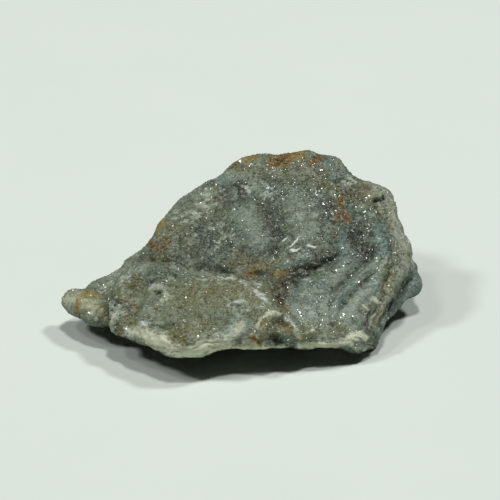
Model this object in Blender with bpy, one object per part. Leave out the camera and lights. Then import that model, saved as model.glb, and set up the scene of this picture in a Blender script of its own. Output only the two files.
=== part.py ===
"""Chalcedony rose: one piece of grey chalcedony that grew as a few overlapping petals.

Lengths are in millimetres until the last step, which turns the finished stone to metres.
X runs to the right, Y away from the front, and Z up from the surface the stone rests on.
The petals and the relief are drawn as the stone is seen from the front and a little above:
(right, up) are millimetres on a picture plane through the front foot, and a height says how
far a point lies above the table.
"""

import math

import bmesh
import bpy
import numpy as np
from mathutils import Vector, noise

# Driving sizes
VIEW_TILT = math.radians(27.0)
VIEW_DISTANCE = 300.0
PICTURE_CENTRE = 17.3
EDGE_SEGMENTS = 96
HEIGHT_SEGMENTS = 40
FUSE_STEP = 0.45
MOST_TRIANGLES = 9600
METRES = 0.001

# Directions of the picture that the outlines are drawn in
TO_EYE = np.array([0.0, -math.cos(VIEW_TILT), math.sin(VIEW_TILT)])
PICTURE_RIGHT = np.array([1.0, 0.0, 0.0])
PICTURE_UP = np.array([0.0, math.sin(VIEW_TILT), math.cos(VIEW_TILT)])
EYE = PICTURE_CENTRE * PICTURE_UP + VIEW_DISTANCE * TO_EYE

# Rims of the petals: points (right, up, height) that go round anticlockwise, seen from above
MAIN_RIM = [
    (19.7, 0.3, 1.6),
    (22.8, 4.0, 3.6),
    (25.0, 9.0, 6.4),
    (27.3, 13.0, 9.0),
    (27.6, 17.0, 11.2),
    (25.7, 22.2, 14.4),
    (24.4, 26.5, 16.6),
    (21.6, 28.2, 18.0),
    (18.4, 29.2, 18.9),
    (15.2, 32.4, 20.6),
    (7.5, 33.3, 21.0),
    (0.4, 31.8, 19.8),
    (-4.5, 28.4, 17.8),
    (-8.7, 26.4, 15.8),
    (-12.5, 22.6, 13.4),
    (-14.9, 19.2, 11.8),
    (-15.4, 15.4, 9.8),
    (-12.5, 9.0, 7.4),
    (-5.0, 3.4, 5.4),
    (3.0, 1.2, 4.0),
    (9.5, 1.1, 3.6),
    (15.2, 0.8, 3.2),
]
FRONT_RIM = [
    (-9.4, 0.3, 5.2),
    (-6.8, 0.5, 5.1),
    (-3.5, 0.9, 4.9),
    (0.2, 1.0, 4.7),
    (3.2, 0.8, 4.6),
    (6.2, 4.0, 6.4),
    (6.0, 8.0, 8.0),
    (4.6, 10.8, 9.1),
    (2.6, 12.2, 9.9),
    (-0.7, 12.6, 10.4),
    (-4.8, 13.0, 10.9),
    (-9.0, 13.6, 11.1),
    (-12.8, 14.6, 11.1),
    (-16.5, 14.7, 10.3),
    (-19.0, 13.6, 9.3),
    (-21.0, 10.8, 7.8),
    (-22.2, 7.4, 6.0),
    (-21.8, 4.2, 4.8),
    (-18.7, 2.4, 5.3),
    (-15.3, 1.6, 5.6),
    (-12.3, 0.7, 5.4),
]
TIP_RIM = [
    (-22.4, 4.7, 4.6),
    (-20.5, 8.0, 5.8),
    (-22.0, 10.1, 5.8),
    (-25.5, 9.9, 5.4),
    (-28.4, 9.7, 5.1),
    (-30.2, 9.1, 4.9),
    (-30.4, 8.3, 4.7),
    (-28.9, 7.5, 4.6),
    (-27.0, 6.3, 4.5),
    (-25.2, 5.2, 4.4),
]
LOW_RIM = [
    (20.3, 1.0, 0.9),
    (22.5, 3.6, 1.4),
    (25.4, 6.9, 2.8),
    (27.8, 9.4, 3.8),
    (29.7, 11.3, 4.8),
    (28.6, 14.0, 5.6),
    (25.0, 18.0, 7.2),
    (16.0, 22.0, 8.0),
    (4.0, 23.0, 8.0),
    (-8.0, 22.0, 8.0),
    (-15.4, 18.5, 8.0),
    (-19.5, 14.9, 6.6),
    (-23.2, 12.3, 5.8),
    (-25.8, 11.3, 5.4),
    (-26.8, 10.2, 5.0),
    (-25.5, 8.6, 4.6),
    (-19.0, 7.5, 4.4),
    (-8.0, 4.6, 3.4),
    (2.0, 3.4, 2.6),
    (11.0, 2.4, 1.8),
]
BACK_RIM = [
    (22.0, 19.0, 11.0),
    (23.0, 22.0, 12.6),
    (20.5, 25.5, 13.6),
    (12.0, 28.5, 14.4),
    (3.0, 29.2, 14.4),
    (-5.0, 27.0, 13.6),
    (-11.0, 23.0, 12.0),
    (-11.0, 19.0, 10.4),
    (-2.0, 14.0, 8.0),
    (12.0, 13.0, 8.0),
]
NODULE_RIM = [
    (9.2, 1.8, 5.0),
    (9.2, 4.4, 6.2),
    (7.4, 6.4, 7.2),
    (5.0, 6.6, 7.4),
    (3.4, 4.4, 6.5),
    (3.4, 1.8, 5.2),
    (6.4, 0.9, 4.6),
]

# Each petal's rim, with how far its crown stands over the rim and its root reaches below it
PETALS = {
    "main": (MAIN_RIM, (0.0, -1.2, 2.0), (0.0, 3.0, -7.0)),
    "front": (FRONT_RIM, (0.0, -0.8, 2.5), (0.0, 1.5, -4.0)),
    "tip": (TIP_RIM, (0.0, 0.0, 1.4), (0.5, 0.0, -1.6)),
    "low": (LOW_RIM, (0.0, 0.0, 2.0), (0.0, 0.5, -6.2)),
    "back": (BACK_RIM, (0.0, 0.0, 2.0), (0.0, 0.0, -5.0)),
    "nodule": (NODULE_RIM, (0.0, -1.4, 1.6), (0.0, 1.0, -2.6)),
}
CROWN_SQUARENESS = 0.6
RIM_FADE = 3.0

# Ridges (above zero) and grooves (below zero): a path of (right, up) points, half width, height
RELIEF = {
    "left_hollow": ([(-7.7, 16.5), (-5.5, 18.3), (-4.3, 21.5)], 3.0, -0.9),
    "boss": ([(0.2, 22.0), (2.3, 17.3)], 2.6, 0.7),
    "boss_groove": ([(2.3, 25.3), (4.3, 23.2), (5.5, 19.8), (5.3, 17.3), (4.0, 15.2)], 1.2, -0.7),
    "upper_hollow": ([(-2.0, 26.3), (2.0, 27.3)], 2.0, -0.6),
    "upper_left_margin": ([(-13.2, 21.5), (-9.0, 26.0), (-4.0, 28.8), (1.0, 31.0)], 2.0, 0.5),
    "fold_1_ridge": ([(6.7, 15.3), (10.2, 16.2), (13.8, 17.2)], 1.5, 0.8),
    "fold_1_groove": ([(6.2, 9.5), (7.5, 11.8), (10.2, 13.5), (13.0, 14.8), (15.3, 16.2)], 1.4, -1.3),
    "fold_2_ridge": ([(7.5, 9.0), (9.3, 11.2), (12.7, 12.7), (16.0, 14.3), (18.0, 16.3)], 1.5, 0.6),
    "fold_3_groove": ([(13.7, 7.3), (14.3, 9.0), (16.3, 11.0), (19.0, 13.5), (20.7, 15.2)], 1.1, -0.6),
    "fold_3_ridge": (
        [(14.7, 6.0), (15.5, 8.7), (18.7, 11.8), (21.5, 14.5), (22.3, 17.3), (22.0, 20.3)],
        1.0,
        0.55,
    ),
    "fold_4_groove": ([(16.3, 7.8), (17.0, 9.0), (18.7, 10.3), (22.0, 13.2)], 1.0, -0.45),
    "right_hollow": ([(18.8, 19.3), (20.7, 17.3)], 1.8, -1.0),
    "upright_ridge": ([(14.7, 24.8), (14.8, 20.7), (15.2, 16.5)], 1.4, 0.5),
    "upright_groove": ([(17.0, 22.3), (17.2, 19.0)], 1.3, -0.5),
    "step_valley": ([(17.7, 29.7), (19.0, 27.3), (18.0, 24.8)], 1.4, -0.7),
    "rim_groove": (
        [(24.0, 23.2), (25.2, 18.2), (25.4, 15.0), (23.6, 11.3), (22.9, 9.0), (21.8, 5.3)],
        1.0,
        -0.55,
    ),
    "lobe_crease": (
        [(-19.0, 15.3), (-14.0, 16.2), (-9.0, 14.3), (-1.0, 13.7), (3.2, 13.6), (5.3, 10.3), (7.8, 7.3)],
        1.2,
        -0.8,
    ),
    "band_groove": ([(-18.8, 5.3), (-18.0, 8.8), (-16.2, 11.2), (-13.8, 12.8), (-11.3, 13.6)], 1.2, -1.0),
    "band_ridge": ([(-22.0, 4.8), (-21.6, 7.5), (-20.4, 10.7), (-18.3, 12.8), (-15.7, 14.2)], 1.5, 0.5),
    "tip_groove": ([(-22.8, 5.2), (-23.0, 7.5), (-23.8, 9.7)], 1.0, -0.9),
    "lobe_hollow": ([(-9.0, 9.0), (-3.2, 8.2)], 2.5, -0.4),
    "nodule_ring": (
        [(3.5, 1.5), (3.8, 4.0), (4.7, 6.1), (6.3, 6.9), (8.0, 6.1), (9.3, 4.0), (9.7, 1.6)],
        0.8,
        0.8,
    ),
    "nodule_hollow": ([(6.4, 4.8), (7.2, 4.2)], 0.9, -0.7),
    "nodule_hole": ([(5.8, 2.2), (7.4, 1.9)], 0.9, -1.8),
}

# Uneven growth: wavelength and height of the broad swells, of the small lumps everywhere, and of
# the knobs on the sides and the underside
THICKER = 0.3
SWELL = (9.0, 0.55)
LUMP = (2.6, 0.35)
KNOB = (4.2, 1.3)


def place(right, up, height):
    """The point at this height above the table that is seen at (right, up) on the picture plane."""
    on_plane = right * PICTURE_RIGHT + up * PICTURE_UP
    ray = on_plane - EYE
    return EYE + ray * (height - EYE[2]) / ray[2]


def seen_at(points):
    """Where points are seen on the picture plane, as (right, up) pairs."""
    ray = points - EYE
    depth = -(ray @ TO_EYE)
    on_plane = ray * (VIEW_DISTANCE / depth)[:, None] + EYE
    return np.stack([on_plane @ PICTURE_RIGHT, on_plane @ PICTURE_UP], axis=1)


def closed_curve(points, share):
    """A point on the smooth closed curve through points, at this share of the way round."""
    count = len(points)
    first = int(share * count)
    t = share * count - first
    p0, p1, p2, p3 = (points[(first + k) % count] for k in (-1, 0, 1, 2))
    return 0.5 * (
        2 * p1 + (p2 - p0) * t + (2 * p0 - 5 * p1 + 4 * p2 - p3) * t**2 + (3 * p1 - p0 - 3 * p2 + p3) * t**3
    )


def add_petal(bm, rim, crown, root):
    """Draws a ball out to a petal: its equator becomes the rim, its poles the crown and the root.

    The rim's waves fade quickly towards the middle. The top is full right up to the rim, and the
    underside tapers to it, so the rim stands out over a hollow as a petal's does.
    """
    edge = [Vector(place(*point)) for point in rim]
    middle = sum(edge, Vector()) / len(edge)
    across = [p - middle for p in edge]
    facing = sum((a.cross(b) for a, b in zip(across, across[1:] + across[:1])), Vector()).normalized()
    ball = bmesh.ops.create_uvsphere(bm, u_segments=EDGE_SEGMENTS, v_segments=HEIGHT_SEGMENTS, radius=1.0)
    for vert in ball["verts"]:
        share = (math.atan2(vert.co.y, vert.co.x) / (2 * math.pi)) % 1.0
        sine = max(-1.0, min(1.0, vert.co.z))
        cosine = math.sqrt(1.0 - sine * sine)
        spoke = closed_curve(across, share)
        wave = facing * spoke.dot(facing)
        if sine > 0:
            reach = cosine**CROWN_SQUARENESS
            lift = Vector(crown) * sine**CROWN_SQUARENESS
        else:
            reach = cosine
            lift = Vector(root) * sine * sine
        vert.co = middle + (spoke - wave) * reach + wave * reach**RIM_FADE + lift


def fused_petals():
    """All the petals as one closed skin."""
    bm = bmesh.new()
    for rim, crown, root in PETALS.values():
        add_petal(bm, rim, crown, root)
    bmesh.ops.remove_doubles(bm, verts=bm.verts, dist=0.001)
    bmesh.ops.recalc_face_normals(bm, faces=bm.faces)
    mesh = bpy.data.meshes.new("petals")
    bm.to_mesh(mesh)
    bm.free()
    helper = bpy.data.objects.new("petals", mesh)
    add_fuse(helper)
    soften = helper.modifiers.new("soften", "SMOOTH")
    soften.factor = 0.5
    soften.iterations = 4
    return finished_mesh(helper)


def add_fuse(helper):
    """Gives the helper one closed skin in place of shells that cross each other."""
    fuse = helper.modifiers.new("fuse", "REMESH")
    fuse.mode = "VOXEL"
    fuse.voxel_size = FUSE_STEP


def finished_mesh(helper):
    """The helper's mesh with its modifiers applied. The helper is removed."""
    bpy.context.scene.collection.objects.link(helper)
    graph = bpy.context.evaluated_depsgraph_get()
    mesh = bpy.data.meshes.new_from_object(helper.evaluated_get(graph))
    bpy.data.objects.remove(helper)
    return mesh


def stroke_weight(seen, path, half_width):
    """How much each seen point belongs to a stroke: 1 on its path, fading to 0 on both sides."""
    nearest = np.full(len(seen), np.inf)
    for start, end in zip(path, path[1:]):
        start, along = np.array(start), np.array(end) - np.array(start)
        share = np.clip((seen - start) @ along / (along @ along), 0.0, 1.0)
        nearest = np.minimum(nearest, np.linalg.norm(seen - start - share[:, None] * along, axis=1))
    return np.exp(-((nearest / half_width) ** 2))


def lump_height(point, size):
    """A rounded lump over each cell of a pattern of cells this far apart."""
    to_centre = noise.voronoi(Vector(point) / size)[0][0]
    return math.sqrt(max(0.0, 1.0 - (to_centre / 0.8) ** 2)) - 0.5


def carve(mesh):
    """Moves the skin in and out: the relief of the face, the swells, the lumps and the knobs."""
    count = len(mesh.vertices)
    points = np.empty(count * 3)
    mesh.vertices.foreach_get("co", points)
    points = points.reshape(-1, 3)
    normals = np.empty(count * 3)
    mesh.vertices.foreach_get("normal", normals)
    normals = normals.reshape(-1, 3)
    seen = seen_at(points)
    turned_to_eye = np.clip(normals @ TO_EYE, 0.0, 1.0) ** 0.5
    move = np.full(count, THICKER)
    for path, half_width, height in RELIEF.values():
        move += height * turned_to_eye * stroke_weight(seen, path, half_width)
    turned_away = np.clip(0.6 - normals @ TO_EYE, 0.0, 1.0)
    for k, point in enumerate(points):
        move[k] += SWELL[1] * noise.noise(Vector(point) / SWELL[0])
        move[k] += LUMP[1] * lump_height(point, LUMP[0])
        move[k] += KNOB[1] * turned_away[k] * noise.noise(Vector(point) / KNOB[0])
    points += normals * move[:, None]
    mesh.vertices.foreach_set("co", points.ravel())
    mesh.update()


def thinned(mesh):
    """The mesh with one clean skin again and only as many triangles as keep its form."""
    helper = bpy.data.objects.new("clean", mesh)
    add_fuse(helper)
    mesh = finished_mesh(helper)
    mesh.calc_loop_triangles()
    helper = bpy.data.objects.new("thinned", mesh)
    thin = helper.modifiers.new("thin", "DECIMATE")
    thin.ratio = MOST_TRIANGLES / len(mesh.loop_triangles)
    return finished_mesh(helper)


def cut_flat(mesh):
    """Cuts the stone flat where it rests, centres it over the origin and turns it to metres."""
    bm = bmesh.new()
    bm.from_mesh(mesh)
    everything = bm.verts[:] + bm.edges[:] + bm.faces[:]
    cut = bmesh.ops.bisect_plane(
        bm, geom=everything, dist=0.0001, plane_co=(0, 0, 0), plane_no=(0, 0, 1), clear_inner=True
    )
    rim = [item for item in cut["geom_cut"] if isinstance(item, bmesh.types.BMEdge)]
    bmesh.ops.holes_fill(bm, edges=rim)
    bmesh.ops.triangulate(bm, faces=bm.faces)
    low = [min(v.co[axis] for v in bm.verts) for axis in range(3)]
    high = [max(v.co[axis] for v in bm.verts) for axis in range(3)]
    to_origin = Vector((-(low[0] + high[0]) / 2, -(low[1] + high[1]) / 2, 0.0))
    bmesh.ops.translate(bm, vec=to_origin, verts=bm.verts)
    bmesh.ops.scale(bm, vec=(METRES, METRES, METRES), verts=bm.verts)
    bm.to_mesh(mesh)
    bm.free()
    print("moved to the origin by", tuple(round(x, 3) for x in to_origin), "mm")


def chalcedony():
    """Grey, slightly green chalcedony with a fine druse: a satin, pale stone."""
    material = bpy.data.materials.new("chalcedony")
    material.use_nodes = True
    shader = material.node_tree.nodes["Principled BSDF"]
    shader.inputs["Base Color"].default_value = (0.19, 0.21, 0.19, 1.0)
    shader.inputs["Roughness"].default_value = 0.45
    shader.inputs["Metallic"].default_value = 0.0
    shader.inputs["IOR"].default_value = 1.54
    return material


def main():
    for obj in list(bpy.data.objects):
        bpy.data.objects.remove(obj)
    mesh = fused_petals()
    carve(mesh)
    mesh = thinned(mesh)
    cut_flat(mesh)
    mesh.materials.append(chalcedony())
    mesh.shade_smooth()
    stone = bpy.data.objects.new("chalcedony_rose", mesh)
    bpy.context.scene.collection.objects.link(stone)


main()
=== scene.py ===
# %% [markdown]
# A chalcedony rose is a flat, wavy stone that grew in a cavity of a lava. It is made of petals: thin
# sheets of grey chalcedony that grew over each other, and a late coat of tiny quartz points, the
# druse, makes them glitter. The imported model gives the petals' main forms. This lesson gives them
# their skin: grains, crusts, stains and crystals. Everything is in metres, except where a name says
# mm or px.

# %% Load the frame
import math
import random

import bmesh
import bpy
import numpy as np
from mathutils import Matrix, Vector, noise


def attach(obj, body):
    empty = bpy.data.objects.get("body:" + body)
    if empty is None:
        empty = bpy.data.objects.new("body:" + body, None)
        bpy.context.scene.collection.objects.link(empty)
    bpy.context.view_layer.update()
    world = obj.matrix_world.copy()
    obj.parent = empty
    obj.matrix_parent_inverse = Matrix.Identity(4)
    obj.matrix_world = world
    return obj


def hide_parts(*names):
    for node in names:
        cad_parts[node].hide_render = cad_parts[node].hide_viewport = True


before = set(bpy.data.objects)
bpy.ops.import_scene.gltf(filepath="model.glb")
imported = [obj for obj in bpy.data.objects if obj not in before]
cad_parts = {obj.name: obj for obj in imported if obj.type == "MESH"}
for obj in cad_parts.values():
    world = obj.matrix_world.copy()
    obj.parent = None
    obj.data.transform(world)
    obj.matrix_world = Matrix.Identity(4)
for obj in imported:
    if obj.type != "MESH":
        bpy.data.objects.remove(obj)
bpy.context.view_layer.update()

# %% [markdown]
# The camera comes first, because the small features are laid out as the picture shows them. The
# picture is 500 x 500 pixels and shows six pixels to a millimetre of a plane that stands up through
# the stone's front foot. The camera looks down by 27 degrees from 300 mm away. A camera could also be
# turned by hand until the outlines agree, but then no point of the stone could be named by its pixel.

# %% Picture plane and camera
TILT = math.radians(27.0)
DISTANCE_MM = 300.0
PX_PER_MM = 6.0
PICTURE_PX = 500.0
FOOT_PX = np.array([244.0, 354.0])
FOOT_MM = np.array([0.07, -15.127, 0.0])
AIM_UP_MM = 17.3

to_eye = np.array([0.0, -math.cos(TILT), math.sin(TILT)])
picture_up = np.array([0.0, math.sin(TILT), math.cos(TILT)])
eye_mm = FOOT_MM + AIM_UP_MM * picture_up + DISTANCE_MM * to_eye


def pixels_of(points_mm):
    """Where points are seen in the picture, as (x, y) pixels, with y running down."""
    ray = points_mm - eye_mm
    on_plane = ray * (DISTANCE_MM / -(ray @ to_eye))[:, None] + eye_mm - FOOT_MM
    return np.stack([FOOT_PX[0] + PX_PER_MM * on_plane[:, 0], FOOT_PX[1] - PX_PER_MM * on_plane @ picture_up], axis=1)


lens = bpy.data.cameras.new("camera")
lens.sensor_width = 36.0
lens.lens = 36.0 * DISTANCE_MM * PX_PER_MM / PICTURE_PX
lens.shift_x = (PICTURE_PX / 2 - FOOT_PX[0]) / PICTURE_PX
lens.shift_y = (FOOT_PX[1] - PICTURE_PX / 2 - PX_PER_MM * AIM_UP_MM) / PICTURE_PX
lens.clip_start = 0.01
camera = bpy.data.objects.new("camera", lens)
camera.location = Vector(eye_mm) * 0.001
camera.rotation_euler = Vector(to_eye).to_track_quat("Z", "Y").to_euler()
bpy.context.scene.collection.objects.link(camera)
bpy.context.scene.camera = camera
bpy.context.scene.view_settings.view_transform = "Standard"
print("lens", round(lens.lens, 1), "mm, shift", round(lens.shift_x, 4), round(lens.shift_y, 4))

# %% [markdown]
# Two small helpers serve every material. Colours are written as the hex values that a painter reads
# off a screen, and one function turns them to the linear values that the shader wants. The other adds
# a node, sets it and links it. An input is named by its socket, or by i and its number where a node
# has several of one name.

# %% Material helpers


def linear(hex_colour):
    """A hex colour such as #7a7f78 as linear red, green, blue and alpha."""
    shares = [int(hex_colour[k : k + 2], 16) / 255 for k in (1, 3, 5)]
    return [c / 12.92 if c <= 0.04045 else ((c + 0.055) / 1.055) ** 2.4 for c in shares] + [1.0]


def add(tree, kind, settings=None, **inputs):
    """Adds a node. A link is given as the socket that it comes from, and a value as itself."""
    node = tree.nodes.new(kind)
    for name, value in (settings or {}).items():
        setattr(node, name, value)
    for name, value in inputs.items():
        key = int(name[1:]) if name[0] == "i" and name[1:].isdigit() else name.replace("_", " ")
        socket = node.inputs[key]
        if isinstance(value, bpy.types.NodeSocket):
            tree.links.new(value, socket)
        else:
            socket.default_value = value
    return node


# %% [markdown]
# The skin starts from the frame's own solid. That solid has loose triangles about a millimetre wide,
# so a copy is merged, remeshed at 0.42 mm and smoothed. It could be drawn from new petals too, but a
# copy keeps the look and the physics the same shape.

# %% Skin from the frame's solid
SKIN_STEP_MM = 0.42


def shaped(mesh, modifiers):
    """The mesh with modifiers applied, each given as its kind and its settings."""
    helper = bpy.data.objects.new("helper", mesh)
    bpy.context.scene.collection.objects.link(helper)
    for kind, settings in modifiers:
        modifier = helper.modifiers.new(kind.lower(), kind)
        for name, value in settings.items():
            setattr(modifier, name, value)
    graph = bpy.context.evaluated_depsgraph_get()
    result = bpy.data.meshes.new_from_object(helper.evaluated_get(graph))
    bpy.data.objects.remove(helper)
    return result


merged = bmesh.new()
merged.from_mesh(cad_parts["chalcedony_rose"].data)
bmesh.ops.scale(merged, vec=(1000, 1000, 1000), verts=merged.verts)
bmesh.ops.remove_doubles(merged, verts=merged.verts, dist=0.0005)
copy = bpy.data.meshes.new("stone")
merged.to_mesh(copy)
merged.free()
even = shaped(
    copy,
    [
        ("REMESH", {"mode": "VOXEL", "voxel_size": SKIN_STEP_MM}),
        ("SMOOTH", {"factor": 0.5, "iterations": 4}),
    ],
)
print("even skin:", len(even.polygons), "faces")

# %% [markdown]
# The grains that the picture shows are half a millimetre wide, finer than the skin's faces. Dividing
# every face would make a heavy mesh, so only the faces that look up and to the front, where the druse
# is seen, are divided once more.

# %% Finer faces where the druse is seen
FINE_FACING = 0.5
skin = bmesh.new()
skin.from_mesh(even)
skin.normal_update()
facing = Vector(to_eye)
fine = {edge for face in skin.faces if face.normal.dot(facing) > FINE_FACING for edge in face.edges}
bmesh.ops.subdivide_edges(skin, edges=list(fine), cuts=1, use_grid_fill=True)
bmesh.ops.smooth_vert(skin, verts=skin.verts, factor=0.5, use_axis_x=True, use_axis_y=True, use_axis_z=True)
skin.normal_update()
print("fine skin:", sum(len(f.verts) - 2 for f in skin.faces), "triangles")

# %% [markdown]
# Everything that is drawn on the stone is a stroke: a path of picture pixels with a half width. One
# function says how far each point of the skin is beside a path and how far along it, and a second one
# turns that to a soft brush. The brush wobbles a little, so no stroke has a ruled edge. Sculpting by
# hand would do as well, but a list of strokes can be read and changed.

# %% Brush
WOBBLE_PX = 2.2
WOBBLE_MM = 1.3


def beside(pixels, path):
    """How far each point is beside a path, left negative, and how far along it, in pixels."""
    away, side, along = np.full(len(pixels), np.inf), np.zeros(len(pixels)), np.zeros(len(pixels))
    walked = 0.0
    for start, end in zip(path, path[1:]):
        start, step = np.array(start, float), np.array(end, float) - np.array(start, float)
        share = np.clip((pixels - start) @ step / (step @ step), 0.0, 1.0)
        offset = pixels - start - share[:, None] * step
        distance = np.linalg.norm(offset, axis=1)
        nearer = distance < away
        away[nearer] = distance[nearer]
        side[nearer] = (np.sign(step[0] * offset[:, 1] - step[1] * offset[:, 0]) * distance)[nearer]
        along[nearer] = (walked + share * np.linalg.norm(step))[nearer]
        walked += float(np.linalg.norm(step))
    return side, along


def brush(pixels, path, half_width):
    """1 on the path, fading to 0 over about two half widths on both sides."""
    return np.exp(-((beside(pixels, path)[0] / half_width) ** 2))


skin.verts.ensure_lookup_table()
points = np.array([v.co for v in skin.verts])
normals = np.array([v.normal for v in skin.verts])
wobble = np.array([noise.noise_vector(v.co / WOBBLE_MM)[:2] for v in skin.verts])
pixels = pixels_of(points) + WOBBLE_PX * wobble
front = np.clip(normals @ to_eye * 2.5, 0.0, 1.0)
print("skin points:", len(points), "of which the camera's side has", int((front > 0).sum()))

# %% [markdown]
# The druse isn't the same all over. In some places round grains stand out like spawn, and the rims and
# the boss in the middle are smooth. Two brushes set the height of the grains from place to place.

# %% Where the grains stand out, and where the skin is smooth
# Each stroke is a path in pixels, a half width in pixels and a strength.
GRAINY = [
    ([(104, 294), (114, 286), (132, 275)], 6.0, 1.0),
    ([(112, 328), (114, 314), (120, 305)], 7.0, 1.0),
    ([(80, 312), (96, 312)], 8.0, 0.7),
    ([(184, 216), (198, 214), (208, 202)], 8.0, 1.0),
    ([(247, 188), (272, 192)], 7.0, 0.9),
    ([(200, 248), (228, 237)], 12.0, 0.5),
    ([(226, 306), (243, 302)], 6.0, 1.0),
    ([(243, 311), (266, 305)], 5.0, 0.6),
    ([(130, 336), (150, 334)], 5.0, 0.6),
    ([(346, 183), (354, 184)], 5.0, 0.8),
]
SMOOTH = [
    ([(252, 215), (262, 250)], 14.0, 0.7),
    ([(218, 178), (240, 174)], 7.0, 0.7),
    ([(368, 186), (386, 192)], 9.0, 0.7),
    ([(392, 205), (404, 240), (408, 264), (396, 290)], 8.0, 0.5),
    ([(66, 300), (72, 304)], 7.0, 0.7),
    ([(286, 265), (310, 258)], 5.0, 0.6),
    ([(338, 300), (356, 283), (372, 268)], 9.0, 0.75),
    ([(413, 275), (416, 290), (400, 305)], 7.0, 0.7),
]
grainy, smooth = (
    front * np.max([strength * brush(pixels, path, width) for path, width, strength in strokes], axis=0)
    for strokes in (GRAINY, SMOOTH)
)
grain_height = (1.0 + 1.5 * grainy) * (1.0 - 0.75 * smooth)
print("grain height from", round(float(grain_height.min()), 2), "to", round(float(grain_height.max()), 2))

# %% [markdown]
# The relief has four layers. Strokes are ridges and grooves: creases between lobes, ripples of growth,
# the ring and the hole of the nodule. Growth lines run beside the rims, as the edges of the stone's
# thin layers. Grains are rounded lumps on two sizes of cell. Rough noise breaks up what is left. A bump
# map could draw them too, but then the outline would stay smooth and the mesh would lose them.

# %% Relief
# Each stroke is its path in pixels, its half width in pixels and its height in mm.
RELIEF = {
    "crease over the front lobe": (
        [(130, 265), (144, 262), (158, 260), (167, 262), (176, 266), (189, 271), (203, 273), (226, 273),
         (239, 276), (264, 275), (270, 279), (276, 294), (283, 306)], 2.2, -0.4),
    "groove inside the outer band": ([(131, 326), (136, 311), (139, 300), (147, 288), (158, 281), (172, 277)], 3.5, -0.3),
    "edge of the inner dome": ([(141, 318), (144, 304), (151, 293), (161, 285), (174, 282)], 3.5, 0.2),
    "outer band": ([(113, 328), (115, 308), (120, 290), (134, 276), (152, 268)], 5.0, 0.25),
    "hollow beside the dome": ([(146, 320), (160, 324), (176, 326)], 4.5, -0.2),
    "groove before the tip": ([(108, 328), (108, 315), (107, 303), (101, 293)], 2.8, -0.45),
    "pit on the dome": ([(158, 293), (160, 292)], 1.6, -0.9),
    "slit on the right": ([(375, 201), (380, 201), (384, 197)], 1.5, -1.1),
    "hollow under the slit": ([(375, 207), (378, 213)], 3.0, -0.25),
    "hole of the nodule": ([(273, 339), (280, 342)], 4.2, -0.7),
    "arch of the nodule": (
        [(259, 333), (261, 322), (267, 315), (276, 314), (284, 319), (292, 325), (297, 332)], 3.6, 0.35),
    "pocket of the nodule": ([(279, 323), (288, 330)], 3.6, -0.2),
    "ripple 1, soft end of its groove": ([(314, 266), (328, 258), (342, 252)], 5.0, 0.5),
    "ripple 1, ridge": ([(284, 267), (298, 261), (312, 257)], 4.5, 0.15),
    "ripple 2, ridge": (
        [(334, 322), (333, 310), (338, 299), (346, 290), (356, 282), (366, 273), (377, 262)], 3.4, 0.5),
    "ripple 2, groove above": ([(333, 297), (342, 286), (352, 276), (364, 266)], 3.0, -0.35),
    "ripple 2, groove below": ([(341, 310), (346, 302), (355, 293), (368, 281)], 2.4, -0.5),
    "ripple 3, ridge": ([(352, 316), (356, 303), (368, 289), (380, 274)], 4.5, 0.3),
    "edge of the boss": ([(258, 202), (273, 226), (279, 244), (271, 262)], 3.0, -0.25),
    "hollow of the right bay": ([(358, 236), (369, 254)], 7.0, -0.25),
    "bay's right wall": ([(374, 222), (378, 240), (375, 258)], 3.0, 0.25),
    "line inside the right rim": (
        [(378, 215), (390, 240), (393, 262), (388, 278), (384, 296), (374, 312), (366, 326)], 2.2, -0.35),
    "ledge of the right rim": (
        [(412, 264), (410, 277), (400, 291), (392, 302), (385, 312), (379, 326)], 1.6, -0.45),
    "chips of the right foot": ([(362, 312), (370, 322), (372, 334)], 2.5, -0.3),
    "lip under the front rim": ([(134, 345), (144, 348), (153, 349)], 2.0, 0.35),
    "line over the lip": ([(134, 342), (146, 343), (158, 346)], 1.1, -0.3),
    "fold of the front crust": ([(160, 337), (168, 344), (173, 353)], 2.2, 0.3),
    "hollow of the front crust": ([(177, 338), (188, 344)], 5.0, -0.25),
    "gap beside the back petal": ([(80, 290), (92, 290), (101, 288)], 1.6, -0.3),
}
# Growth lines: a guide path, how far they reach beside it in pixels, and their height in mm.
GROWTH = [
    ([(386, 196), (393, 212), (400, 236), (406, 258), (404, 274), (393, 293), (383, 308), (374, 326)], 15.0, 0.10),
    ([(340, 318), (343, 305), (354, 290), (372, 276), (384, 262), (388, 240)], 12.0, 0.07),
    ([(284, 275), (304, 266), (328, 256), (350, 246)], 12.0, 0.03),
    ([(120, 336), (140, 341), (158, 345), (172, 352), (190, 352), (216, 346), (250, 346)], 8.0, 0.15),
    ([(300, 343), (330, 343), (356, 342), (378, 350)], 6.0, 0.12),
    ([(146, 300), (160, 286), (190, 282), (224, 284)], 9.0, 0.04),
]
LINE_PX = (1.7, 16.0)
# Each size of grain is the width of its cells and the height of its lumps, in mm.
GRAINS = [(1.2, 0.16), (0.65, 0.11)]
ROUGH = [(3.0, 0.25), (0.6, 0.06)]


def lump(nearest_mm, size_mm):
    """The height of a rounded lump on its cell, from -0.5 between the cells to 0.5 on top."""
    return math.sqrt(max(0.0, 1.0 - (nearest_mm / 0.85 / size_mm) ** 2)) - 0.5


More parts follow.
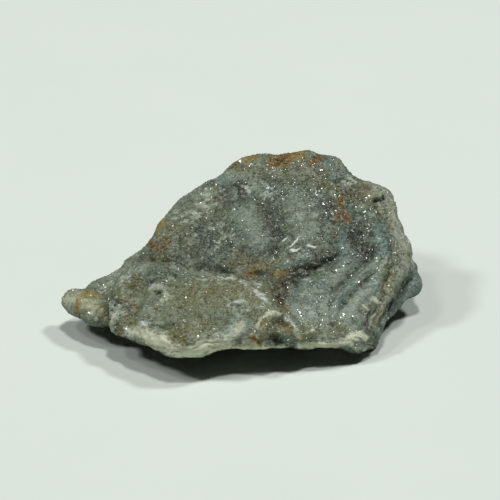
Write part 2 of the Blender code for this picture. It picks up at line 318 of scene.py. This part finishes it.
raised = np.zeros(len(points))
for path, half_width, height in RELIEF.values():
    raised += height * front * brush(pixels, path, half_width)
growth = np.zeros(len(points))
for number, (path, reach, height) in enumerate(GROWTH):
    side, along = beside(pixels, path)
    lines = np.array([noise.noise((s / LINE_PX[0], a / LINE_PX[1], 9.0 * number)) for s, a in zip(side, along)])
    faded = front * np.exp(-((side / reach) ** 2)) * lines * 2.0
    raised += height * faded
    growth += faded * height / 0.1
cells = [[noise.voronoi(v.co / size) for size, height in GRAINS] for v in skin.verts]
grain = np.array([[lump(cell[0][0] * size, size) for cell, (size, _) in zip(row, GRAINS)] for row in cells])
lump_tone, grain_tone = np.array([[noise.cell(cell[1][0] * 17.3) for cell in row] for row in cells]).clip(-1, 1).T
rough = np.array([[noise.noise(v.co / size) for size, height in ROUGH] for v in skin.verts])
raised += grain_height * (grain @ np.array([height for size, height in GRAINS]))
raised += rough @ np.array([height for size, height in ROUGH])
for vert, up_mm in zip(skin.verts, raised):
    vert.co += vert.normal * up_mm
    vert.co.z = max(vert.co.z, 0.0)
skin.normal_update()
print("relief from", round(raised.min(), 2), "to", round(raised.max(), 2), "mm; tones", grain_tone.min(), grain_tone.max())

# %% [markdown]
# The stains are not a picture laid over the stone. Each one is a number on every point of the skin,
# again from strokes by pixel, and the material turns these numbers into colour where its noise lets
# them through. Painting them by hand in the editor gives the same kind of attribute.

# %% Stains, painted shade and painted light
# Each stain is a list of paths in pixels, half width in pixels and strength. Stains soak outwards, so
# their half widths are widened by one factor.
SOAK = 1.25
# Not every list is a stain: some strokes are painted shade and painted light, as marked below.
STAINS = {
    # painted shade: broad dark strokes over the upper plate, its hollows and the ripple's trough
    "broad_painted_shade": [
        ([(200, 225), (215, 250), (250, 262)], 22.0, 1.0),
        ([(272, 176), (272, 210), (276, 246)], 14.0, 0.9),
        ([(330, 180), (345, 220), (350, 250), (372, 250)], 24.0, 1.0),
        ([(284, 296), (298, 279), (318, 266), (338, 255)], 9.0, 1.0),
        ([(176, 250), (230, 190), (300, 165)], 16.0, 0.6),
        ([(118, 304), (132, 292), (160, 268)], 8.0, 0.5),
    ],
    "rust": [
        ([(275, 162), (283, 160), (286, 155)], 6.3, 1.0),
        ([(313, 162), (319, 158)], 3.5, 1.0),
        ([(341, 199), (341, 208)], 3.0, 1.0),
        ([(338, 218), (343, 214), (348, 219)], 3.2, 1.0),
        ([(150, 243), (154, 245)], 3.5, 0.9),
        ([(162, 248), (165, 241)], 3.5, 1.0),
        ([(254, 339), (258, 343)], 3.5, 1.0),
        ([(247, 273), (255, 273)], 2.8, 0.9),
        ([(281, 306), (288, 311)], 3.5, 0.8),
        ([(77, 312), (78, 304)], 2.2, 0.5),
        ([(333, 230), (337, 240)], 3.5, 0.4),
    ],
    "ochre": [
        ([(242, 160), (254, 158)], 3.4, 1.0),
        ([(290, 158), (302, 154)], 4.6, 1.0),
        ([(158, 229), (163, 221)], 3.6, 1.0),
        ([(78, 308), (79, 299), (88, 294), (98, 293)], 3.6, 0.9),
        ([(251, 269), (262, 267)], 4.0, 0.7),
        ([(277, 272), (285, 272)], 4.0, 0.8),
        ([(283, 325), (290, 331)], 3.0, 0.9),
        ([(300, 338), (306, 336)], 2.5, 0.8),
        ([(244, 345), (250, 343)], 2.5, 0.8),
        ([(390, 292), (383, 304), (380, 312), (376, 321)], 2.2, 0.45),
        ([(262, 326), (268, 320)], 4.0, 0.6),
        ([(280, 322), (288, 328)], 3.0, 0.8),
        ([(84, 300), (96, 304)], 8.0, 0.45),
    ],
    "film": [
        ([(134, 300), (150, 328), (200, 336)], 18.0, 0.8),
        ([(180, 300), (240, 292), (262, 300)], 18.0, 0.9),
        ([(160, 250), (176, 226), (210, 206)], 14.0, 0.6),
        ([(240, 168), (300, 166), (330, 180)], 12.0, 0.6),
        ([(236, 265), (276, 264), (280, 300)], 7.0, 0.7),
        ([(72, 302), (96, 308)], 12.0, 0.8),
        ([(340, 190), (366, 196)], 9.0, 0.9),
        ([(390, 200), (404, 240), (398, 280), (376, 320)], 8.0, 0.5),
        ([(300, 330), (350, 332)], 8.0, 0.7),
        ([(262, 322), (276, 336), (256, 342)], 8.0, 0.8),
    ],
    # milky skin, and painted light on the lower right, the low plate and the front, which the lamps light less
    "mist_and_painted_light": [
        ([(296, 306), (318, 296), (340, 276), (352, 264)], 12.0, 0.7),
        ([(346, 326), (350, 306), (366, 288), (382, 268)], 13.0, 1.0),
        ([(304, 318), (322, 306), (334, 322)], 13.0, 0.9),
        ([(330, 286), (346, 272)], 9.0, 0.6),
        ([(284, 266), (308, 258)], 6.0, 0.6),
        ([(222, 178), (244, 176)], 7.0, 0.7),
        ([(66, 300), (82, 300), (98, 308)], 9.0, 0.6),
        ([(140, 320), (150, 300)], 8.0, 0.5),
        ([(192, 350), (214, 341), (238, 328)], 9.0, 1.0),
        ([(246, 214), (258, 240)], 12.0, 0.6),
        ([(108, 290), (128, 272), (150, 262)], 8.0, 0.5),
        ([(296, 200), (310, 230)], 14.0, 0.5),
        ([(400, 290), (415, 282), (404, 300)], 9.0, 1.0),
        ([(176, 212), (200, 196)], 9.0, 0.4),
    ],
    "olive": [
        ([(117, 298), (124, 290), (138, 281)], 5.0, 0.8),
        ([(120, 330), (127, 320), (133, 306)], 6.0, 1.0),
        ([(104, 322), (104, 306)], 5.0, 0.9),
        ([(150, 259), (166, 258)], 5.0, 0.7),
        ([(190, 262), (240, 264)], 4.0, 0.3),
        ([(244, 269), (266, 267), (276, 263)], 4.0, 0.6),
        ([(270, 268), (280, 278), (276, 300)], 5.0, 0.7),
        ([(386, 290), (389, 275), (386, 262)], 5.0, 0.9),
        ([(361, 184), (366, 188)], 5.0, 0.9),
        ([(232, 165), (238, 166)], 4.0, 0.9),
        ([(250, 172), (300, 172), (322, 184)], 7.0, 0.35),
        ([(232, 258), (250, 258)], 6.0, 0.6),
        ([(178, 338), (190, 342)], 6.0, 0.8),
        ([(200, 322), (222, 326)], 6.0, 0.6),
        ([(165, 335), (185, 330)], 5.0, 0.6),
        ([(190, 288), (214, 290)], 8.0, 0.4),
        ([(216, 190), (220, 198)], 4.0, 0.6),
        ([(262, 322), (268, 332)], 5.0, 0.8),
        ([(330, 333), (345, 331)], 5.0, 0.6),
        ([(150, 200), (170, 230), (196, 256)], 12.0, 0.3),
        ([(318, 330), (305, 322)], 5.0, 0.4),
        ([(350, 192), (364, 192)], 5.0, 0.5),
        ([(376, 204), (380, 210)], 4.0, 0.6),
    ],
    "blue": [
        ([(413, 274), (419, 284), (414, 294), (402, 304)], 7.0, 1.0),
        ([(396, 304), (388, 318), (383, 332)], 4.0, 0.8),
        ([(381, 228), (382, 254)], 6.5, 0.9),
        ([(343, 238), (344, 256)], 5.5, 0.8),
        ([(288, 294), (302, 284), (322, 282)], 6.0, 0.6),
        ([(337, 306), (346, 291), (364, 275)], 4.0, 0.6),
        ([(284, 266), (308, 258)], 4.0, 0.5),
        ([(84, 286), (98, 284)], 6.0, 0.5),
        ([(128, 261), (146, 246)], 5.0, 0.4),
        ([(240, 208), (240, 232)], 7.0, 0.35),
        ([(146, 306), (141, 316)], 5.0, 0.5),
        ([(222, 342), (236, 326)], 7.0, 0.5),
        ([(222, 178), (244, 176)], 5.0, 0.3),
        ([(330, 164), (335, 174)], 5.0, 0.6),
        ([(183, 222), (176, 234)], 8.0, 0.4),
        ([(228, 306), (243, 302)], 5.0, 0.4),
    ],
    # dark brown spots, and painted shade in the ripple's trough, the grooves and the nodule's pocket
    "brown_and_groove_shade": [
        ([(280, 297), (288, 284), (298, 275), (312, 268)], 8.0, 1.0),
        ([(345, 190), (358, 194)], 5.0, 0.8),
        ([(328, 206), (336, 202)], 5.0, 0.6),
        ([(206, 214), (210, 206)], 4.0, 0.6),
        ([(108, 326), (108, 306)], 2.6, 0.9),
        ([(280, 322), (285, 326)], 2.4, 1.0),
        ([(282, 152), (283, 154)], 1.8, 1.0),
        ([(341, 201), (341, 203)], 1.6, 1.0),
        ([(342, 213), (343, 215)], 1.6, 1.0),
        ([(151, 238), (154, 232)], 2.4, 1.0),
        ([(164, 258), (168, 259)], 2.2, 1.0),
        ([(260, 204), (272, 224), (278, 244), (272, 262)], 3.5, 0.6),
        ([(372, 318), (366, 326), (370, 336)], 4.0, 0.6),
        ([(352, 268), (340, 282)], 5.0, 0.5),
        ([(188, 256), (184, 266)], 5.0, 0.4),
        ([(129, 314), (131, 305)], 2.0, 0.9),
        ([(228, 346), (240, 346)], 2.0, 0.8),
        ([(358, 350), (372, 352)], 3.0, 0.8),
    ],
    # dark slate-grey patches, and painted shade in creases, pits, the slit and hollows
    "slate_and_crease_shade": [
        ([(240, 186), (243, 198)], 7.0, 0.9),
        ([(220, 206), (232, 202)], 6.0, 0.6),
        ([(198, 228), (212, 244)], 9.0, 0.7),
        ([(196, 265), (212, 268), (230, 269)], 3.4, 0.85),
        ([(262, 207), (270, 212)], 6.0, 0.6),
        ([(276, 232), (288, 236)], 5.0, 0.7),
        ([(296, 278), (318, 265), (336, 257)], 6.5, 1.0),
        ([(356, 234), (368, 254)], 8.0, 1.0),
        ([(364, 254), (372, 250)], 4.0, 1.0),
        ([(336, 178), (344, 182)], 5.0, 0.9),
        ([(272, 339), (281, 342)], 5.5, 1.0),
        ([(412, 268), (408, 280), (400, 292)], 2.2, 1.0),
        ([(400, 292), (391, 304), (384, 314)], 1.8, 0.9),
        ([(376, 201), (380, 201), (384, 197)], 1.8, 1.0),
        ([(157, 293), (160, 292)], 2.0, 1.0),
        ([(148, 320), (160, 326), (176, 326)], 5.0, 0.7),
        ([(118, 302), (113, 310)], 4.0, 0.8),
        ([(346, 302), (342, 309)], 2.4, 0.6),
        ([(372, 312), (370, 322)], 3.0, 0.7),
        ([(150, 282), (160, 279)], 3.0, 0.5),
        ([(180, 308), (182, 309)], 1.6, 0.9),
        ([(173, 324), (174, 325)], 1.6, 0.9),
        ([(362, 205), (372, 206)], 5.0, 0.5),
        ([(284, 218), (288, 224)], 5.0, 0.5),
    ],
    "cream": [
        ([(128, 330), (140, 333), (152, 335), (163, 337)], 5.0, 0.7),
        ([(148, 339), (162, 341), (172, 350), (184, 356)], 6.2, 1.05),
        ([(186, 355), (198, 350), (212, 346), (228, 345)], 6.2, 1.1),
        ([(212, 344), (230, 337), (240, 326)], 6.0, 0.7),
        ([(136, 345), (150, 349)], 3.0, 0.9),
        ([(228, 348), (243, 348), (262, 350), (284, 349)], 3.4, 1.0),
        ([(252, 335), (257, 337)], 2.4, 0.9),
        ([(245, 342), (262, 346)], 3.6, 0.8),
        ([(258, 328), (262, 319), (269, 314), (277, 315)], 2.0, 0.75),
        ([(285, 320), (292, 324), (297, 331), (299, 338)], 2.2, 0.7),
        ([(304, 334), (313, 329)], 1.4, 0.9),
        ([(300, 345), (330, 344), (350, 342)], 3.2, 0.9),
        ([(350, 338), (360, 335), (366, 337)], 3.6, 1.0),
        ([(356, 346), (370, 350)], 4.0, 0.5),
        ([(152, 290), (160, 286), (168, 296), (160, 303)], 4.0, 0.45),
        ([(66, 300), (80, 297), (92, 306)], 7.0, 0.5),
        ([(203, 206), (208, 208)], 2.2, 0.5),
        ([(373, 299), (379, 301)], 2.6, 1.0),
        ([(374, 298), (386, 290), (392, 280)], 3.0, 0.4),
        ([(112, 330), (116, 316)], 3.0, 0.4),
        ([(363, 304), (369, 309)], 1.4, 0.8),
    ],
    "milk": [
        ([(218, 279), (231, 277), (241, 281)], 2.0, 1.0),
        ([(198, 280), (210, 281)], 2.2, 0.6),
        ([(253, 290), (259, 294), (264, 298)], 3.8, 1.0),
        ([(254, 284), (260, 284)], 2.4, 0.8),
        ([(264, 305), (269, 306)], 2.4, 0.9),
        ([(243, 311), (247, 311)], 2.2, 0.8),
        ([(229, 306), (236, 303), (242, 305)], 3.0, 0.8),
        ([(242, 284), (247, 286)], 2.4, 0.7),
        ([(283, 314), (290, 318)], 3.0, 0.6),
        ([(143, 324), (149, 323)], 2.8, 0.9),
        ([(152, 287), (161, 285)], 2.6, 0.7),
        ([(132, 336), (128, 332)], 4.0, 0.6),
        ([(104, 295), (113, 290), (119, 286)], 3.0, 0.6),
        ([(113, 314), (112, 326)], 3.0, 0.6),
        ([(132, 276), (124, 281)], 3.0, 0.5),
        ([(404, 302), (408, 292)], 2.6, 0.7),
        ([(347, 181), (353, 185)], 3.0, 0.45),
        ([(248, 189), (261, 192), (272, 190)], 3.0, 0.5),
        ([(192, 217), (200, 213)], 3.0, 0.5),
        ([(204, 200), (211, 200)], 3.0, 0.4),
        ([(304, 281), (310, 278)], 2.6, 0.5),
        ([(222, 340), (236, 334)], 5.0, 0.5),
        ([(94, 313), (97, 316)], 2.2, 0.6),
    ],
    "scar": [
        ([(283, 241), (287, 239)], 1.2, 1.0),
        ([(298, 238), (296, 242), (290, 247)], 1.0, 1.0),
        ([(291, 251), (295, 251), (299, 249)], 1.1, 1.0),
        ([(309, 246), (315, 247)], 1.1, 1.0),
        ([(269, 174), (275, 172)], 1.0, 0.7),
    ],
    "bare": [
        ([(370, 186), (386, 193)], 7.0, 1.0),
        ([(392, 204), (402, 236), (408, 262)], 6.0, 0.9),
        ([(404, 272), (392, 290)], 4.0, 0.8),
        ([(66, 298), (71, 306)], 6.0, 0.8),
        ([(332, 157), (344, 167)], 4.0, 0.6),
        ([(352, 290), (352, 322)], 8.0, 0.4),
        ([(104, 278), (122, 270), (140, 266)], 4.0, 0.5),
        ([(178, 198), (198, 190)], 6.0, 0.4),
        ([(180, 270), (226, 275)], 2.4, 0.5),
    ],
}
points = np.array([v.co for v in skin.verts])
front = np.clip(np.array([v.normal for v in skin.verts]) @ to_eye * 3.0, 0.0, 1.0)
amounts = {
    # painted shade in the gaps between the grains and between the lumps
    "painted_shade_between_grains": np.clip(0.5 - grain[:, 1], 0.0, 1.0) * grain_height,
    "painted_shade_between_lumps": np.clip(0.5 - grain[:, 0], 0.0, 1.0),
    "pale_grain": np.clip(grain[:, 1] + 0.5, 0.0, 1.0) * grain_tone * (0.45 + grainy) * (1.0 - smooth),
    "pale_lump": np.clip(grain[:, 0] + 0.5, 0.0, 1.0) * (0.7 * lump_tone + 0.45 * grainy) * (1.0 - smooth),
    "growth": growth,
    # painted shade: darker where the skin faces down
    "painted_underside_shade": np.clip(-normals[:, 2] * 2.0 - 0.4, 0.0, 1.0),
}
for stain, strokes in STAINS.items():
    amounts[stain] = front * np.max([s * brush(pixels, path, SOAK * w) for path, w, s in strokes], axis=0)
amounts["milk"] *= 0.75 + 0.5 * grain_tone

stone_mesh = bpy.data.meshes.new("chalcedony_skin")
bmesh.ops.scale(skin, vec=(0.001, 0.001, 0.001), verts=skin.verts)
skin.to_mesh(stone_mesh)
skin.free()
for name, amount in amounts.items():
    stone_mesh.attributes.new(name, "FLOAT", "POINT").data.foreach_set("value", amount.astype(np.float32))
    print(name, "covers", round(float((amount > 0.3).mean() * 100)), "% of the points")
stone_mesh.shade_smooth()

# %% [markdown]
# The glitter of a druse comes from flat faces of real crystals, each of which mirrors a lamp only at
# its own angle. So the points are modelled: short quartz points, a few tenths of a millimetre wide,
# sunk in the skin and leaning a little. Quartz has six faces at its tip, but three of them are mostly
# much larger, and three are what the eye makes out at this size. White dots in a texture would sparkle
# the same from every side, which no crystal does.

# %% Quartz points
POINTS = 42000
POINT_MM = (0.22, 0.5)
SUNK = 0.12
random.seed(7)


def quartz_point():
    """One three-sided pyramid, 1 wide, with its foot a little below z = 0."""
    bm = bmesh.new()
    bmesh.ops.create_cone(bm, segments=3, radius1=0.6, radius2=0.0, depth=0.5, cap_ends=True)
    bmesh.ops.remove_doubles(bm, verts=bm.verts, dist=0.01)
    bmesh.ops.translate(bm, vec=(0, 0, 0.25 - SUNK), verts=bm.verts)
    mesh = bpy.data.meshes.new("quartz_point")
    bm.to_mesh(mesh)
    bm.free()
    return mesh


template = quartz_point()
corners = len(template.vertices)
druse = bmesh.new()
druse_faces = []


def set_point(face, width, turn, steepness):
    """Adds one quartz point on a face of the skin."""
    one = template.copy()
    one.transform(Matrix.Translation(face.center) @ turn @ Matrix.Diagonal((width, width, width * steepness, 1.0)))
    druse.from_mesh(one)
    bpy.data.meshes.remove(one)
    druse_faces.append(face.index)


candidates = [p for p in stone_mesh.polygons if p.center.z > 0.0008]
quiet = amounts["cream"] + 0.6 * amounts["bare"] + 0.5 * amounts["milk"]
weights = [p.area * (1.3 if p.center.x > 0.004 else 1.0) * max(0.12, 1.0 - quiet[p.vertices[0]]) for p in candidates]
for face in random.choices(candidates, weights=weights, k=POINTS):
    width = random.uniform(*POINT_MM) * 0.001
    lean = Vector([random.gauss(0.0, 0.24) for _ in range(3)])
    turn = (face.normal + lean).to_track_quat("Z", "Y").to_matrix().to_4x4()
    spin = Matrix.Rotation(random.uniform(0, math.tau), 4, "Z")
    set_point(face, width, turn @ spin, random.uniform(0.45, 0.85))
print("quartz points:", len(druse_faces), "with", sum(len(f.verts) - 2 for f in druse.faces), "triangles")

# %% [markdown]
# A lamp is seen in a crystal when one of its faces halves the angle between the lamp and the eye. A few
# hundred of the millions of points on a real druse always do, far more than among some ten thousand
# modelled ones. So some points are turned until one face nearly mirrors a lamp, a little off so that
# some flash and some only gleam. The brightest ones stand where the picture shows them.

# %% Points that flash
# Each lamp is its direction in degrees round from the viewer and up, its width in degrees as seen from
# the stone, and its watts.
LAMPS = {
    "lamp_above": (90, 85, 8, 7.9),
    "lamp_left": (276, 47, 9, 6.1),
    "lamp_high_left": (280, 64, 9, 2.4),
    "lamp_right": (116, 56, 9, 7.9),
}
LAMP_MM = 1500.0
# Pixel and width in mm of the brightest points.
BRIGHT = [
    (240, 162, 0.75), (217, 185, 0.5), (251, 164, 0.4), (273, 168, 0.4), (321, 170, 0.4), (316, 192, 0.35),
    (317, 195, 0.45), (319, 191, 0.3), (323, 204, 0.6), (335, 195, 0.4), (336, 211, 0.5), (340, 196, 0.4),
    (349, 196, 0.3), (355, 196, 0.3), (361, 196, 0.3), (366, 198, 0.4), (369, 196, 0.45), (355, 207, 0.4),
    (326, 213, 0.35), (371, 209, 0.35), (365, 212, 0.4), (367, 228, 0.35), (353, 254, 0.4), (377, 268, 0.45),
    (344, 266, 0.5), (337, 270, 0.5), (301, 313, 0.8), (302, 316, 0.5), (344, 315, 0.6), (340, 323, 0.5),
    (353, 317, 0.4), (349, 330, 0.35), (321, 297, 0.4), (359, 282, 0.4), (199, 336, 0.55), (126, 329, 0.5),
    (185, 298, 0.45), (279, 301, 0.4), (233, 209, 0.3), (263, 236, 0.35), (231, 242, 0.3), (263, 303, 0.35),
    (283, 299, 0.35), (171, 267, 0.3), (150, 279, 0.3), (376, 280, 0.35), (367, 258, 0.35), (385, 258, 0.3),
]
FLASHES = 1400
face_normal = next(p.normal.copy() for p in template.polygons if abs(p.normal.z) < 0.95)
eye = Vector(eye_mm) * 0.001


def lamp_direction(name):
    """The unit vector from the stone to a lamp."""
    round_deg, up_deg = (math.radians(a) for a in LAMPS[name][:2])
    return Vector((math.sin(round_deg) * math.cos(up_deg), -math.cos(round_deg) * math.cos(up_deg), math.sin(up_deg)))


def set_flashing(face, width, off_deg):
    """Adds a point whose face mirrors a lamp to the eye, with its axis as near the skin's normal as it can be."""
    to_camera = (eye - face.center).normalized()
    best = None
    for name in LAMPS:
        mirror = (to_camera + lamp_direction(name)).normalized()
        mirror = (mirror + Vector([random.gauss(0.0, math.radians(off_deg)) for _ in range(3)])).normalized()
        first = face_normal.rotation_difference(mirror).to_matrix().to_4x4()
        for step in range(12):
            turn = Matrix.Rotation(math.tau * step / 12, 4, mirror) @ first
            upright = (turn.to_3x3() @ Vector((0, 0, 1))).dot(face.normal)
            if best is None or upright > best[0]:
                best = (upright, turn)
    set_point(face, width, best[1], 1.0)


seen = [p for p in candidates if p.normal.dot(facing) > 0.35]
seen_px = pixels_of(np.array([p.center for p in seen]) * 1000)
for x, y, width in BRIGHT:
    set_flashing(seen[int(np.argmin(np.hypot(seen_px[:, 0] - x, seen_px[:, 1] - y)))], width * 0.001, 0.5)
weights = [0.5 + 1.5 * min(1.0, max(0.0, (x - 250) / 40)) for x, y in seen_px]
for face in random.choices(seen, weights=weights, k=FLASHES):
    set_flashing(face, random.uniform(0.12, 0.28) * 0.001, 2.2)
druse_mesh = bpy.data.meshes.new("quartz_druse")
druse.to_mesh(druse_mesh)
druse.free()
foot = np.array([stone_mesh.polygons[i].vertices[0] for i in druse_faces])
for name, amount in amounts.items():
    attribute = druse_mesh.attributes.new(name, "FLOAT", "POINT")
    attribute.data.foreach_set("value", np.repeat(amount[foot], corners).astype(np.float32))
print("quartz druse:", sum(len(p.vertices) - 2 for p in druse_mesh.polygons), "triangles")

# %% [markdown]
# Chalcedony is quartz grown as fibres too fine to see, so it is waxy: grey with a little green and
# blue, and slightly glossy with the same index as quartz, 1.54. The druse on it is clear quartz and
# shows the colour of what it grew on. So both get the same layers of colour, laid over each other as a
# painter would: clouds, grains, then the stains on top. Each layer is a noise, shifted by the stain's
# number, that lets its colour through above a threshold.

# %% Layers of colour
# Name of the number on the skin, or None; colour; size of the noise in mm and its detail; how far the
# noise breaks the layer's edge; the threshold's low and high end; the most that the layer covers.
LAYERS = [
    (None, "#5a6a5c", 9.0, 4.0, 1.0, 0.44, 0.64, 1.0),  # cooler clouds of the chalcedony
    (None, "#64654b", 5.0, 5.0, 1.0, 0.50, 0.70, 0.8),  # olive clouds, a thin film of clay
    ("broad_painted_shade", "#3e4a3e", 4.0, 4.0, 0.7, 0.50, 1.20, 0.8),  # painted shade over the upper plate, its hollows and the ripple's trough
    (None, "#808d76", 1.7, 4.0, 1.0, 0.53, 0.71, 0.65),  # pale mottles
    (None, "#454e40", 1.2, 4.0, 1.0, 0.53, 0.69, 0.75),  # dark mottles
    ("mist_and_painted_light", "#98a597", 1.6, 4.0, 0.8, 0.60, 1.40, 0.85),  # smooth, milky skin over clear quartz, and painted light where the lamps light the faces less
    ("film", "#7d7b52", 1.4, 5.0, 0.9, 0.60, 1.40, 0.7),  # thin olive film of clay
    ("bare", "#8e937f", 1.5, 4.0, 0.8, 0.60, 1.10, 0.75),  # smooth beige skin of the rims
    ("olive", "#636138", 1.2, 4.0, 1.1, 0.70, 1.30, 0.8),
    ("blue", "#6f877f", 1.3, 4.0, 0.9, 0.70, 1.25, 0.8),
    # brown: dark spots, and painted shade in grooves and the nodule's pocket
    ("brown_and_groove_shade", "#403821", 1.0, 4.0, 0.9, 0.75, 1.30, 0.85),
    # slate: dark patches, and painted shade in creases, pits, the slit and hollows
    ("slate_and_crease_shade", "#2c3629", 1.1, 4.0, 0.9, 0.75, 1.30, 0.85),
    ("painted_underside_shade", "#23241f", 2.0, 3.0, 0.4, 0.60, 1.00, 0.9),  # painted shade where the skin faces down
    ("growth", "#a9ad9c", 0.8, 2.0, 0.5, 0.50, 0.90, 0.6),  # growth lines that catch dust
    # painted shade in the gaps between the lumps and between the grains
    ("painted_shade_between_lumps", "#384232", 0.6, 2.0, 0.6, 0.85, 1.25, 0.55),
    ("painted_shade_between_grains", "#3d4435", 0.5, 2.0, 0.6, 0.80, 1.25, 0.35),
    ("pale_lump", "#97a48e", 0.6, 2.0, 0.5, 0.40, 0.95, 0.65),
    ("pale_grain", "#b4beac", 0.5, 2.0, 0.4, 0.50, 0.85, 0.7),
    ("cream", "#d8dcbe", 0.7, 5.0, 1.6, 1.05, 1.75, 0.95),  # crust of opal and lime
    ("milk", "#c6d0c8", 0.6, 4.0, 1.4, 1.00, 1.65, 0.85),  # milky quartz
    ("ochre", "#8f7a34", 0.8, 5.0, 1.4, 1.00, 1.70, 0.85),  # iron stain, thin
    ("rust", "#7f5c14", 0.6, 6.0, 1.7, 1.10, 1.75, 0.95),  # iron stain, thick
    ("rust", "#3d2a06", 0.5, 5.0, 2.4, 1.85, 2.35, 0.8),  # its dark scabs
    ("scar", "#e4e9de", 0.5, 2.0, 0.6, 0.80, 1.10, 0.9),  # fresh scars, white as crushed quartz is
    (None, "#b6bfad", 0.42, 2.0, 1.0, 0.56, 0.70, 0.45),  # pale sugar grains, drawn coarser than life
    (None, "#343a30", 0.36, 2.0, 1.0, 0.60, 0.74, 0.1),  # dark pores between them
]
BASE_COLOUR = "#66725c"
# Name, low and high roughness, bump in mm.
FINISHES = [
    ("druse_on_waxy_chalcedony", 0.45, 0.8, 0.06),
    ("clear_quartz_points", 0.14, 0.24, 0.0),
]
materials = {}
for name, low, high, bump_mm in FINISHES:
    material = bpy.data.materials.new(name)
    material.use_nodes = True
    tree = material.node_tree
    shader = tree.nodes["Principled BSDF"]
    shader.inputs["IOR"].default_value = 1.54
    place = add(tree, "ShaderNodeTexCoord").outputs["Object"]
    colour = linear(BASE_COLOUR)
    for number, (stain, paint, size_mm, detail, spread, start, end, most) in enumerate(LAYERS):
        cloud = add(tree, "ShaderNodeTexNoise", {"noise_dimensions": "4D"}, Vector=place, W=3.7 * number,
                    Scale=1000.0 / size_mm, Detail=detail, Roughness=0.6).outputs["Fac"]
        amount = add(tree, "ShaderNodeAttribute", {"attribute_name": stain}).outputs["Fac"] if stain else 0.0
        shifted = add(tree, "ShaderNodeMath", {"operation": "MULTIPLY_ADD"}, i0=cloud, i1=spread, i2=amount)
        shown = add(tree, "ShaderNodeMapRange", None, Value=shifted.outputs[0], From_Min=start, From_Max=end, To_Max=most)
        colour = add(tree, "ShaderNodeMix", {"data_type": "RGBA"}, i0=shown.outputs["Result"], i6=colour, i7=linear(paint)).outputs[2]
    tree.links.new(colour, shader.inputs["Base Color"])
    gloss = add(tree, "ShaderNodeTexNoise", None, Vector=place, Scale=1000.0 / 0.5, Detail=2.0)
    rubbed = add(tree, "ShaderNodeMapRange", None, Value=gloss.outputs["Fac"], From_Min=0.35, From_Max=0.65, To_Min=low, To_Max=high)
    tree.links.new(rubbed.outputs["Result"], shader.inputs["Roughness"])
    if bump_mm:
        pores = add(tree, "ShaderNodeTexVoronoi", {"feature": "SMOOTH_F1"}, Vector=place, Scale=1000.0 / 0.35)
        bump = add(tree, "ShaderNodeBump", None, Strength=0.7, Distance=bump_mm * 0.001, Height=pores.outputs["Distance"])
        tree.links.new(bump.outputs["Normal"], shader.inputs["Normal"])
    materials[name] = material
    print(name, "has", len(tree.nodes), "nodes")

# %% [markdown]
# The two pieces ride on the frame's only body. The skin stands for the frame's solid, so that one is
# hidden, and it stays in the physics.

# %% Pieces
for name, mesh, finish in (
    ("chalcedony_skin", stone_mesh, "druse_on_waxy_chalcedony"),
    ("quartz_druse", druse_mesh, "clear_quartz_points"),
):
    mesh.materials.clear()
    mesh.materials.append(materials[finish])
    piece = bpy.data.objects.new(name, mesh)
    bpy.context.scene.collection.objects.link(piece)
    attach(piece, "root")
    if name == "chalcedony_skin":
        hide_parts("chalcedony_rose")

# %% [markdown]
# The stage is a sheet of pale paper under soft studio light. One lamp hangs above the stone, so its
# front rim shades the paper under it. Two stand on the left and one on the right, as the shadows on
# both sides show. They are small as seen from the stone, which makes the crystals flash.

# %% Stage and light
sheet_bm = bmesh.new()
bmesh.ops.create_grid(sheet_bm, x_segments=1, y_segments=1, size=1.5)
sheet_mesh = bpy.data.meshes.new("paper_sheet")
sheet_bm.to_mesh(sheet_mesh)
sheet_bm.free()
paper = bpy.data.materials.new("pale_matt_paper")
paper.use_nodes = True
tree = paper.node_tree
shader = tree.nodes["Principled BSDF"]
shader.inputs["Roughness"].default_value = 0.9
place = add(tree, "ShaderNodeTexCoord").outputs["Object"]
fibres = add(tree, "ShaderNodeTexNoise", None, Vector=place, Scale=1000.0 / 30.0, Detail=4.0)
tint = add(tree, "ShaderNodeMix", {"data_type": "RGBA"}, i0=fibres.outputs["Fac"], i6=linear("#e3ebe3"), i7=linear("#dfe8df"))
tree.links.new(tint.outputs[2], shader.inputs["Base Color"])
sheet_mesh.materials.append(paper)
sheet = bpy.data.objects.new("paper_sheet", sheet_mesh)
bpy.context.scene.collection.objects.link(sheet)

for name, (round_deg, up_deg, width_deg, watts) in LAMPS.items():
    light = bpy.data.lights.new(name, "AREA")
    light.shape = "DISK"
    light.size = 2 * math.tan(math.radians(width_deg / 2)) * LAMP_MM * 0.001
    light.energy = watts
    holder = bpy.data.objects.new(name, light)
    holder.location = lamp_direction(name) * LAMP_MM * 0.001
    holder.rotation_euler = lamp_direction(name).to_track_quat("Z", "Y").to_euler()
    bpy.context.scene.collection.objects.link(holder)
world = bpy.data.worlds.new("room")
world.use_nodes = True
world.node_tree.nodes["Background"].inputs["Color"].default_value = linear("#dfe9e2")
world.node_tree.nodes["Background"].inputs["Strength"].default_value = 0.02
bpy.context.scene.world = world
